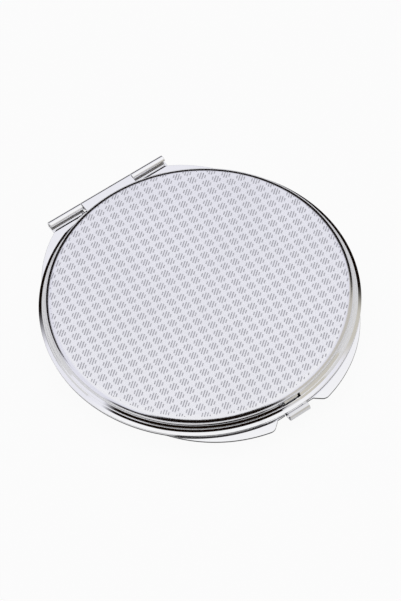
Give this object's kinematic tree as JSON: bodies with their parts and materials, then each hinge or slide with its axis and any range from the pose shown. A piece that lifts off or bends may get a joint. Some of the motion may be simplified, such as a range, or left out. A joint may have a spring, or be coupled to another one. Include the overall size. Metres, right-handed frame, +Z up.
{
  "type": "compact mirror",
  "caption": "Round hinged metal compact mirror with a patterned disc in its lid, a thumb latch, a plain mirror in the lid and a magnifying mirror in the base.",
  "frame": {"origin": "centre of the round case on its flat bottom", "axes": "+Z up through the closed case, +Y towards the hinge, -Y towards the latch, X along the hinge pin"},
  "size_m": [0.0668, 0.0702, 0.008],
  "materials": {
    "base_shell": "nickel-plated, polished",
    "lid_shell": "nickel-plated, polished",
    "disc": "satin, with printed hatched dots",
    "mirror_glass": "silvered float glass",
    "ring": "nickel-plated, polished",
    "spring_steel": "nickel-plated spring steel",
    "pin_steel": "drawn wire",
    "foam": "closed-cell foam",
    "glue_film": "adhesive film"
  },
  "bodies": {
    "base": {"base_shell": "base_shell", "base_mirror_pad": "foam", "base_mirror": "mirror_glass", "base_mirror_ring": "ring", "latch_foot": "spring_steel", "hinge_pin": "pin_steel"},
    "latch": {"latch_tongue": "spring_steel"},
    "lid": {"lid_shell": "lid_shell", "lid_disc_film": "glue_film", "lid_disc": "disc", "lid_mirror_pad": "foam", "lid_mirror": "mirror_glass", "lid_mirror_ring": "ring"}
  },
  "joints": [
    {"name": "lid_hinge", "type": "hinge", "parent": "base", "child": "lid", "pos_m": [0, 0.03416, 0.00484], "axis": [-1, 0, 0], "range_deg": [0, 180]},
    {"name": "latch_press", "type": "hinge", "parent": "base", "child": "latch", "pos_m": [0, -0.0299, 0.00055], "axis": [-1, 0, 0], "range_deg": [0, 2.5], "stiffness_Nm_per_rad": 0.3}
  ]
}
